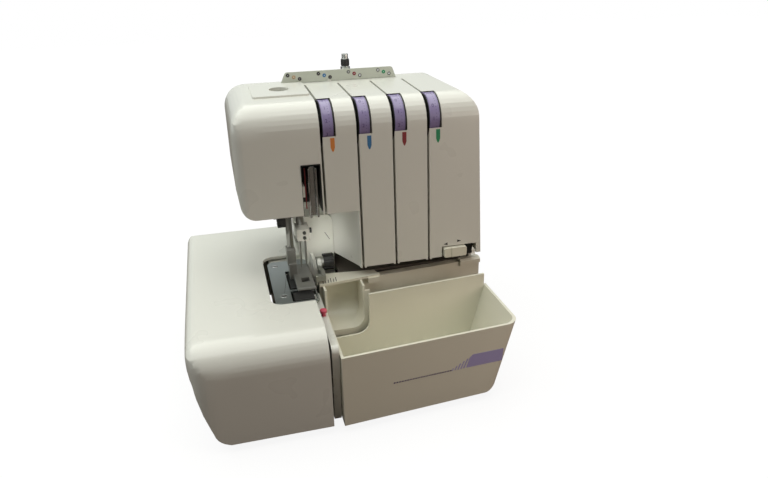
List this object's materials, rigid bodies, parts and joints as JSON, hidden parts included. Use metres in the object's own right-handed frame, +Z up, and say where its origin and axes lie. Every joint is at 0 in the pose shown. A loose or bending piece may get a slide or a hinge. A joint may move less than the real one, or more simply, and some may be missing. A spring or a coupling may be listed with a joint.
{
  "type": "sewing machine",
  "caption": "Domestic overlock sewing machine (serger) with tension dials under a slotted casing, a free-arm extension table, front cover, waste tray and a telescopic thread stand.",
  "frame": {"origin": "Centre of the bounding box in plan, on the surface the machine stands on", "axes": "+X to the operator's right, +Y away from the operator towards the back, +Z up"},
  "size_m": [0.3074, 0.3038, 0.285],
  "materials": {
    "body_white": "smooth glossy moulded ABS, warm off-white",
    "cream_plastic": "semi-gloss moulded ABS, cream",
    "dark_plastic": "matt black moulded plastic or black sheet",
    "rubber": "matt black rubber",
    "bright_steel": "polished nickel-plated steel",
    "grey_metal": "satin grey metal",
    "painted_frame": "white enamel on an aluminium casting",
    "purple_plastic": "purple rim, dark sides",
    "red_plastic": "crimson moulded plastic",
    "bronze": "sintered bronze"
  },
  "bodies": {
    "machine_body": {"base_plate": "dark_plastic", "rubber_feet": "rubber", "machine_frame": "painted_frame", "frame_shelf": "dark_plastic", "front_casing": "body_white", "rear_casing": "body_white", "side_cover": "body_white", "table_partition": "body_white", "thread_guide_plate": "bright_steel", "head_bottom_plate": "grey_metal", "thread_cutter": "dark_plastic", "take_up_guide": "bright_steel", "needle_plate": "bright_steel", "needle_plate_screws": "bright_steel", "lower_knife": "bright_steel", "tension_bracket": "bright_steel", "tension_discs": "bright_steel", "motor": "grey_metal", "power_inlet": "dark_plastic", "spool_stand": "body_white", "spool_pins": "bright_steel", "cone_holders": "dark_plastic", "pole_outer": "bright_steel", "cover_rod": "bright_steel", "selector_track": "dark_plastic", "main_shaft_bushes": "bronze", "drive_belt": "rubber"},
    "extension_table": {"extension_table": "body_white", "table_feet": "rubber"},
    "waste_tray": {"waste_tray": "cream_plastic"},
    "cover_bush": {"cover_bush": "bronze"},
    "front_cover": {"front_cover": "cream_plastic", "waste_chute": "cream_plastic"},
    "tension_dial_1": {"tension_dial_1": "purple_plastic"},
    "tension_dial_2": {"tension_dial_2": "purple_plastic"},
    "tension_dial_3": {"tension_dial_3": "purple_plastic"},
    "tension_dial_4": {"tension_dial_4": "purple_plastic"},
    "main_shaft": {"main_shaft": "bright_steel", "handwheel": "body_white", "driven_pulley": "dark_plastic"},
    "motor_pulley": {"motor_pulley": "bright_steel"},
    "needle_bar": {"needle_bar": "bright_steel", "needle_clamp": "grey_metal", "needle_clamp_screws": "dark_plastic", "needles": "bright_steel"},
    "presser_bar": {"presser_bar": "bright_steel", "presser_foot": "grey_metal"},
    "lifter_lever": {"lifter_lever": "body_white"},
    "upper_knife": {"knife_knob": "dark_plastic", "upper_knife": "bright_steel"},
    "lower_looper": {"lower_looper": "bright_steel"},
    "upper_looper": {"upper_looper": "bright_steel"},
    "main_feed_dog": {"main_feed_dog": "bright_steel"},
    "differential_feed_dog": {"differential_feed_dog": "bright_steel"},
    "stitch_selector": {"stitch_selector": "cream_plastic"},
    "release_button": {"release_button": "red_plastic"},
    "pole_middle": {"pole_middle": "bright_steel"},
    "stitch_length_dial": {"stitch_length_dial": "body_white"},
    "power_switch": {"power_switch": "dark_plastic"},
    "pressure_screw": {"pressure_screw": "body_white"}
  },
  "joints": [
    {"name": "table_slide", "type": "slide", "parent": "machine_body", "child": "extension_table", "axis": [-1, 0, 0], "range_m": [0, 0.07]},
    {"name": "tray_slide", "type": "slide", "parent": "machine_body", "child": "waste_tray", "axis": [0, -1, 0], "range_m": [0, 0.07]},
    {"name": "cover_shift", "type": "slide", "parent": "machine_body", "child": "cover_bush", "axis": [1, 0, 0], "range_m": [0, 0.012], "stiffness_N_per_m": 60},
    {"name": "cover_tilt", "type": "hinge", "parent": "cover_bush", "child": "front_cover", "pos_m": [0.0533, -0.02715, 0.019], "axis": [1, 0, 0], "range_deg": [0, 7]},
    {"name": "dial_1_turn", "type": "hinge", "parent": "machine_body", "child": "tension_dial_1", "pos_m": [-0.0118, -0.01815, 0.24], "axis": [1, 0, 0], "range_deg": [-135, 135]},
    {"name": "dial_2_turn", "type": "hinge", "parent": "machine_body", "child": "tension_dial_2", "pos_m": [0.0212, -0.01815, 0.24], "axis": [1, 0, 0], "range_deg": [-135, 135]},
    {"name": "dial_3_turn", "type": "hinge", "parent": "machine_body", "child": "tension_dial_3", "pos_m": [0.0542, -0.01815, 0.24], "axis": [1, 0, 0], "range_deg": [-135, 135]},
    {"name": "dial_4_turn", "type": "hinge", "parent": "machine_body", "child": "tension_dial_4", "pos_m": [0.0872, -0.01815, 0.24], "axis": [1, 0, 0], "range_deg": [-135, 135]},
    {"name": "main_shaft_turn", "type": "hinge", "parent": "machine_body", "child": "main_shaft", "pos_m": [0.0513, 0.04385, 0.058], "axis": [1, 0, 0], "continuous": true},
    {"name": "motor_turn", "type": "hinge", "parent": "machine_body", "child": "motor_pulley", "pos_m": [0.1113, 0.00185, 0.05], "axis": [1, 0, 0], "continuous": true},
    {"name": "needle_stroke", "type": "slide", "parent": "machine_body", "child": "needle_bar", "axis": [0, 0, -1], "range_m": [0, 0.026]},
    {"name": "presser_lift", "type": "slide", "parent": "machine_body", "child": "presser_bar", "axis": [0, 0, 1], "range_m": [0, 0.006]},
    {"name": "lifter_turn", "type": "hinge", "parent": "machine_body", "child": "lifter_lever", "pos_m": [-0.0487, 0.07685, 0.186], "axis": [1, 0, 0], "range_deg": [0, 50]},
    {"name": "knife_swing", "type": "hinge", "parent": "machine_body", "child": "upper_knife", "pos_m": [-0.0237, -0.01515, 0.101], "axis": [-1, 0, 0], "range_deg": [0, 75]},
    {"name": "lower_looper_swing", "type": "hinge", "parent": "machine_body", "child": "lower_looper", "pos_m": [-0.0577, -0.00415, 0.056], "axis": [0, 1, 0], "range_deg": [-12, 12]},
    {"name": "upper_looper_swing", "type": "hinge", "parent": "machine_body", "child": "upper_looper", "pos_m": [-0.0447, -0.00415, 0.054], "axis": [0, 1, 0], "range_deg": [-12, 12]},
    {"name": "main_feed_travel", "type": "slide", "parent": "machine_body", "child": "main_feed_dog", "axis": [0, 1, 0], "range_m": [-0.0018, 0.0018]},
    {"name": "differential_feed_travel", "type": "slide", "parent": "machine_body", "child": "differential_feed_dog", "axis": [0, 1, 0], "range_m": [-0.0018, 0.0018]},
    {"name": "selector_slide", "type": "slide", "parent": "machine_body", "child": "stitch_selector", "axis": [1, 0, 0], "range_m": [0, 0.01]},
    {"name": "button_press", "type": "slide", "parent": "machine_body", "child": "release_button", "axis": [0, 0, -1], "range_m": [0, 0.0026], "stiffness_N_per_m": 250},
    {"name": "pole_extend", "type": "slide", "parent": "machine_body", "child": "pole_middle", "axis": [0, 0, 1], "range_m": [0, 0.09]},
    {"name": "length_dial_turn", "type": "hinge", "parent": "machine_body", "child": "stitch_length_dial", "pos_m": [0.1363, 0.00785, 0.14], "axis": [1, 0, 0], "range_deg": [-150, 150]},
    {"name": "switch_rock", "type": "hinge", "parent": "machine_body", "child": "power_switch", "pos_m": [0.1295, -0.00415, 0.084], "axis": [0, 1, 0], "range_deg": [0, 6]},
    {"name": "pressure_screw_turn", "type": "hinge", "parent": "machine_body", "child": "pressure_screw", "pos_m": [-0.0462, 0.02885, 0.25], "axis": [0, 0, 1], "range_deg": [-180, 180]}
  ],
  "couplings": [
    {"joint": "motor_turn", "follows": "main_shaft_turn", "ratio": 3},
    {"joint": "lifter_turn", "follows": "presser_lift", "rad_per_m": 145.44}
  ]
}
